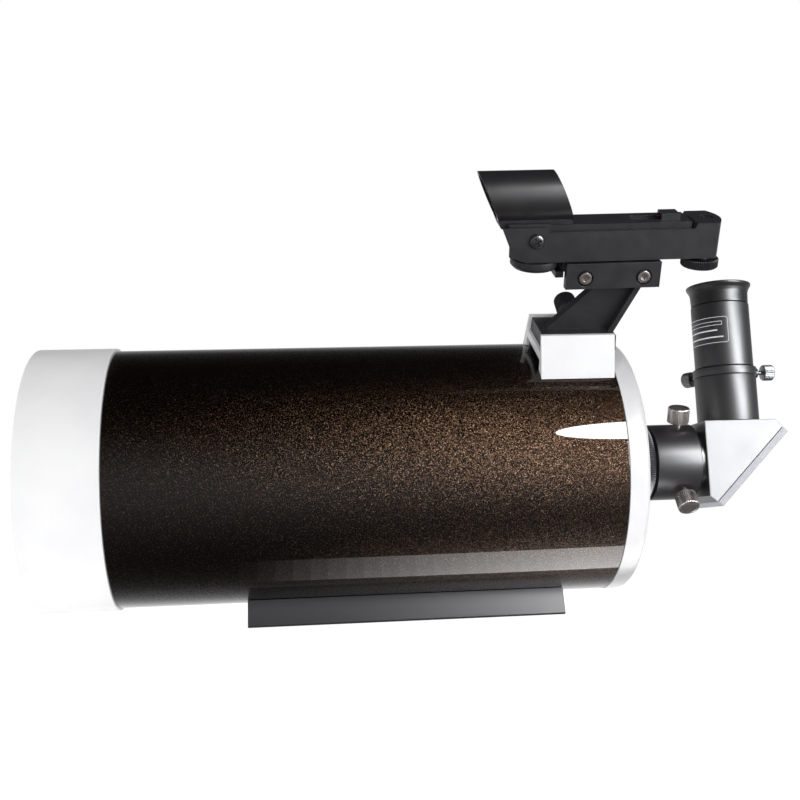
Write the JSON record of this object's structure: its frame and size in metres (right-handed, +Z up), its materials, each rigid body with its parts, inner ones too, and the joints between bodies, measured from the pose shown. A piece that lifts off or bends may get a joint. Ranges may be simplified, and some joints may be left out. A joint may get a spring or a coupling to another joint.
{
  "type": "telescope",
  "caption": "Compact Maksutov-Cassegrain telescope tube on a dovetail bar, with star diagonal, eyepiece and tilting red dot finder.",
  "frame": {"origin": "centre of the dovetail bar's underside", "axes": "+X along the optical axis from the sky end to the eye end, +Z up through the tube, +Y away from the finder's side"},
  "size_m": [0.4302, 0.1773, 0.2323],
  "materials": {
    "tube_paint": "painted gloss black with fine gold-brown metal flake",
    "white_paint": "cast, painted semi-gloss white",
    "black_anodised": "satin black anodised",
    "black_plastic": "satin black",
    "black_rubber": "matte black",
    "nickel": "nickel plated",
    "chrome": "polished chrome",
    "brass": "satin",
    "aluminium": "machined",
    "coated_glass": "clear with a green coating tint",
    "mirror_coating": "first-surface mirror"
  },
  "bodies": {
    "telescope_tube": {"main_tube": "tube_paint", "front_cell": "white_paint", "lens_retaining_ring": "black_anodised", "meniscus_lens": "coated_glass", "secondary_baffle": "black_anodised", "rear_cell": "white_paint", "collimation_screw_1": "nickel", "collimation_screw_2": "nickel", "collimation_screw_3": "nickel", "primary_baffle_tube": "black_anodised", "focus_bushing": "brass", "visual_back": "black_anodised", "dovetail_bar": "black_anodised", "dovetail_bolt_front": "black_anodised", "dovetail_bolt_rear": "black_anodised", "nut_plate": "nickel", "finder_shoe": "white_paint", "finder_shoe_pad": "black_rubber", "shoe_bolt_front": "nickel", "shoe_bolt_rear": "nickel"},
    "lock_ring": {"lock_ring": "black_anodised"},
    "focus_knob": {"focus_knob": "black_rubber"},
    "mirror": {"mirror_carrier": "aluminium", "primary_mirror": "mirror_coating", "mirror_retaining_ring": "black_anodised", "focus_rod": "nickel"},
    "back_screw_upper": {"visual_back_screw_upper": "nickel"},
    "back_screw_lower": {"visual_back_screw_lower": "nickel"},
    "nosepiece": {"diagonal_nosepiece": "chrome"},
    "diagonal": {"diagonal_housing": "black_anodised", "diagonal_plate_near": "white_paint", "diagonal_plate_far": "white_paint", "diagonal_mirror": "mirror_coating", "diagonal_cover": "white_paint", "eyepiece_holder": "black_anodised"},
    "holder_screw_rear": {"holder_screw_rear": "chrome"},
    "holder_screw_side": {"holder_screw_side": "chrome"},
    "eyepiece": {"eyepiece_barrel": "chrome", "eyepiece_body": "black_anodised", "field_lens": "coated_glass", "eye_lens": "coated_glass", "eyecup": "black_rubber"},
    "shoe_thumbscrew": {"shoe_thumbscrew": "black_plastic"},
    "finder_mount": {"finder_bracket": "black_plastic", "clamp_jaw": "black_plastic", "clamp_screw_front": "nickel", "clamp_screw_rear": "nickel", "finder_rail": "black_plastic"},
    "azimuth_knob": {"azimuth_knob": "black_plastic"},
    "finder_carriage": {"finder_carriage": "black_plastic", "pivot_screw": "nickel", "battery_cell": "nickel", "altitude_spring": "nickel"},
    "battery_cover": {"battery_cover": "black_plastic"},
    "brightness_knob": {"brightness_knob": "black_plastic"},
    "altitude_wheel": {"altitude_wheel": "black_plastic"},
    "finder_sight": {"finder_body": "black_plastic", "led_emitter": "coated_glass", "finder_hood": "black_plastic", "finder_lens": "coated_glass"}
  },
  "joints": [
    {"name": "lock_ring_turn", "type": "hinge", "parent": "telescope_tube", "child": "lock_ring", "pos_m": [0.137, 0, 0.0845], "axis": [1, 0, 0], "range_deg": [-1080, 0]},
    {"name": "focus_turn", "type": "hinge", "parent": "telescope_tube", "child": "focus_knob", "pos_m": [0.141, 0.039, 0.0625], "axis": [1, 0, 0], "range_deg": [-1800.5, 1800.5]},
    {"name": "mirror_travel", "type": "slide", "parent": "telescope_tube", "child": "mirror", "axis": [1, 0, 0], "range_m": [-0.005, 0.005]},
    {"name": "back_screw_upper_turn", "type": "hinge", "parent": "telescope_tube", "child": "back_screw_upper", "pos_m": [0.1644, -0.01247, 0.11124], "axis": [0, -0.4226, 0.9063], "range_deg": [0, 1080]},
    {"name": "back_screw_lower_turn", "type": "hinge", "parent": "telescope_tube", "child": "back_screw_lower", "pos_m": [0.1644, -0.01692, 0.06033], "axis": [0, -0.5736, -0.8192], "range_deg": [0, 1080]},
    {"name": "diagonal_slide", "type": "slide", "parent": "telescope_tube", "child": "nosepiece", "axis": [1, 0, 0], "range_m": [0, 0.045]},
    {"name": "diagonal_turn", "type": "hinge", "parent": "nosepiece", "child": "diagonal", "pos_m": [0.178, 0, 0.0845], "axis": [1, 0, 0], "continuous": true},
    {"name": "holder_screw_rear_turn", "type": "hinge", "parent": "diagonal", "child": "holder_screw_rear", "pos_m": [0.2267, 0, 0.137], "axis": [1, 0, 0], "range_deg": [0, 1080]},
    {"name": "holder_screw_side_turn", "type": "hinge", "parent": "diagonal", "child": "holder_screw_side", "pos_m": [0.1862, 0.02338, 0.137], "axis": [-0.5, 0.866, 0], "range_deg": [0, 1080]},
    {"name": "eyepiece_slide", "type": "slide", "parent": "diagonal", "child": "eyepiece", "axis": [0, 0, 1], "range_m": [0, 0.06]},
    {"name": "shoe_thumbscrew_turn", "type": "hinge", "parent": "telescope_tube", "child": "shoe_thumbscrew", "pos_m": [0.0979, -0.02299, 0.17579], "axis": [0, 0.6175, 0.7865], "range_deg": [0, 1080]},
    {"name": "finder_slide", "type": "slide", "parent": "telescope_tube", "child": "finder_mount", "axis": [1, 0, 0], "range_m": [0, 0.042]},
    {"name": "azimuth_turn", "type": "hinge", "parent": "finder_mount", "child": "azimuth_knob", "pos_m": [0.09992, -0.05679, 0.1982], "axis": [0, 0.829, 0.5592], "range_deg": [-720, 720]},
    {"name": "finder_yaw", "type": "hinge", "parent": "finder_mount", "child": "finder_carriage", "pos_m": [0.12882, -0.07346, 0.19341], "axis": [-0.0192, -0.5591, 0.8289], "range_deg": [-1.97, 1.97]},
    {"name": "battery_cover_turn", "type": "hinge", "parent": "finder_carriage", "child": "battery_cover", "pos_m": [0.06931, -0.07075, 0.18939], "axis": [-0.0192, -0.5591, 0.8289], "range_deg": [0, 25]},
    {"name": "brightness_turn", "type": "hinge", "parent": "finder_carriage", "child": "brightness_knob", "pos_m": [0.13267, -0.06675, 0.20743], "axis": [0, 0.829, 0.5592], "range_deg": [0, 270]},
    {"name": "altitude_turn", "type": "hinge", "parent": "finder_carriage", "child": "altitude_wheel", "pos_m": [0.16074, -0.07028, 0.18869], "axis": [-0.0192, -0.5591, 0.8289], "range_deg": [-1250, 1250]},
    {"name": "finder_pitch", "type": "hinge", "parent": "finder_carriage", "child": "finder_sight", "pos_m": [0.06693, -0.07889, 0.20146], "axis": [0, 0.829, 0.5592], "range_deg": [-1.48, 1.48], "deforming": ["altitude_spring"]}
  ],
  "couplings": [
    {"joint": "focus_turn", "follows": "mirror_travel", "rad_per_m": 6283.2},
    {"joint": "azimuth_turn", "follows": "finder_yaw", "ratio": 364.43},
    {"joint": "altitude_turn", "follows": "finder_pitch", "ratio": 839.25}
  ]
}
